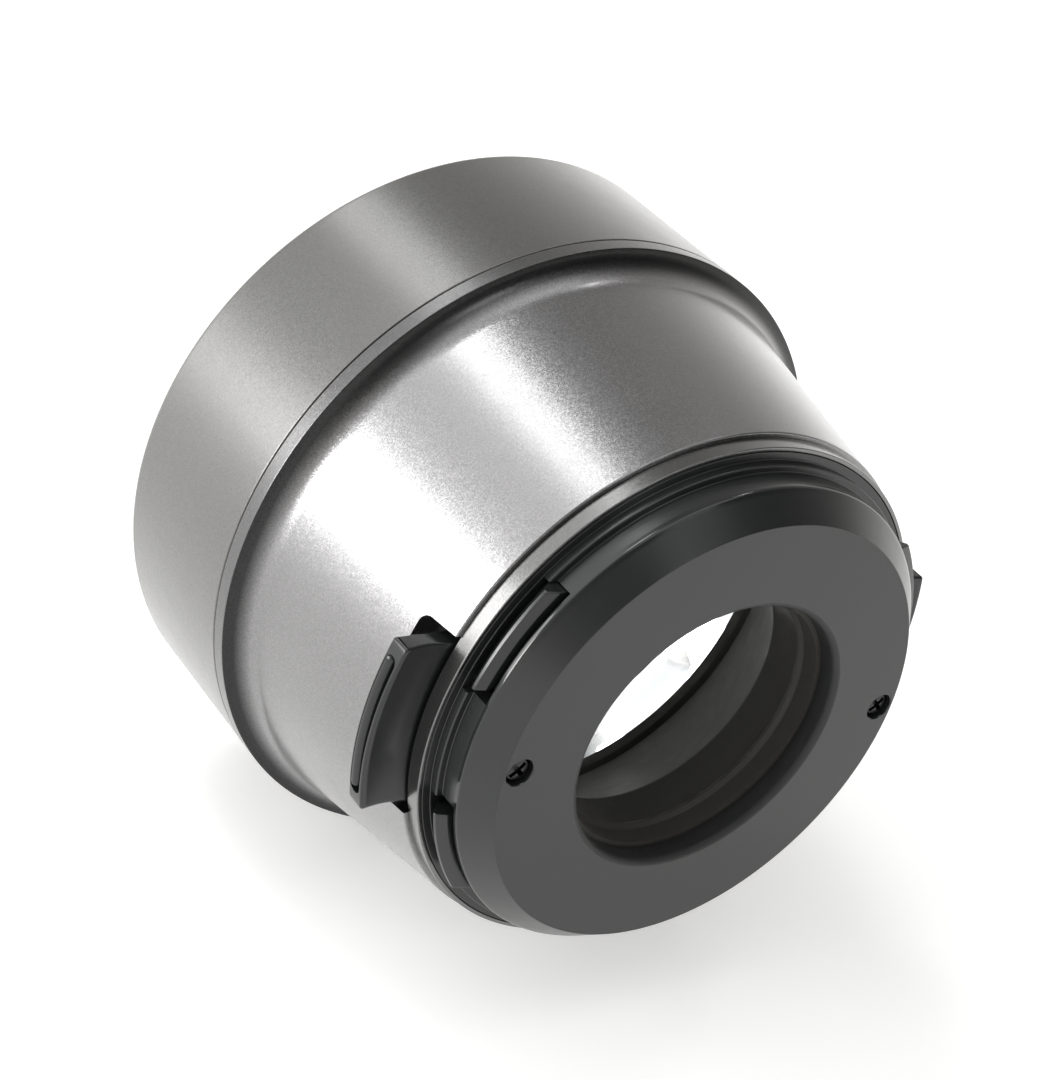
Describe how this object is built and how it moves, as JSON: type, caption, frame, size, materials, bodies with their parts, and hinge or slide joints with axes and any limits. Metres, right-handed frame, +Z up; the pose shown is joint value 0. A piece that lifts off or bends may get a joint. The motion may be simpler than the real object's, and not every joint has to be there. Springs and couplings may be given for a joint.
{
  "type": "camera teleconverter",
  "caption": "Clip-on camera teleconverter: conical barrel, front ring and cemented glass groups, with a rear spigot mount whose sprung claws draw in when the side buttons are squeezed.",
  "frame": {"origin": "on the optical axis, in the plane of the mount's seat, which is the rear face of the seat rib", "axes": "+Y along the optical axis to the rear, towards the camera; the objective looks along -Y; +X towards the left release button as the viewer holds the camera; +Z up"},
  "size_m": [0.068, 0.0514, 0.068],
  "materials": {
    "ring_paint": "satin warm grey metallic paint",
    "barrel_paint": "gloss grey metallic paint with fine flake",
    "collar_paint": "gloss grey metallic paint",
    "mount_plastic": "satin moulded black",
    "button_plastic": "satin moulded black",
    "cell_black": "black anodised, fine turned",
    "baffle_black": "matt light-trap black",
    "front_glass": "polished, coated",
    "rear_glass": "polished, coated",
    "screw_steel": "plain steel",
    "mount_screw_steel": "blackened steel",
    "spring_steel": "drawn wire"
  },
  "bodies": {
    "housing": {"front_ring": "ring_paint", "front_retaining_ring": "cell_black", "front_crown_glass": "front_glass", "front_flint_glass": "front_glass", "front_lens_cell": "cell_black", "front_cell_grub_screws": "screw_steel", "middle_baffle": "baffle_black", "main_barrel": "barrel_paint", "rear_positive_glass": "rear_glass", "rear_negative_glass": "rear_glass", "rear_retaining_ring": "cell_black", "rear_lens_cell": "cell_black", "rear_cell_screws": "screw_steel", "rear_baffle": "baffle_black", "guide_plate": "mount_plastic", "rear_collar": "collar_paint", "mount_ring": "mount_plastic", "mount_screws": "mount_screw_steel", "release_springs_left": "spring_steel", "release_springs_right": "spring_steel"},
    "left_release": {"release_slider_left": "button_plastic"},
    "right_release": {"release_slider_right": "button_plastic"}
  },
  "joints": [
    {"name": "left_press", "type": "slide", "parent": "housing", "child": "left_release", "axis": [-1, 0, 0], "range_m": [0, 0.0018], "stiffness_N_per_m": 1200, "springref_m": -0.001, "deforming": ["release_springs_left"]},
    {"name": "right_press", "type": "slide", "parent": "housing", "child": "right_release", "axis": [1, 0, 0], "range_m": [0, 0.0018], "stiffness_N_per_m": 1200, "springref_m": -0.001, "deforming": ["release_springs_right"]}
  ]
}
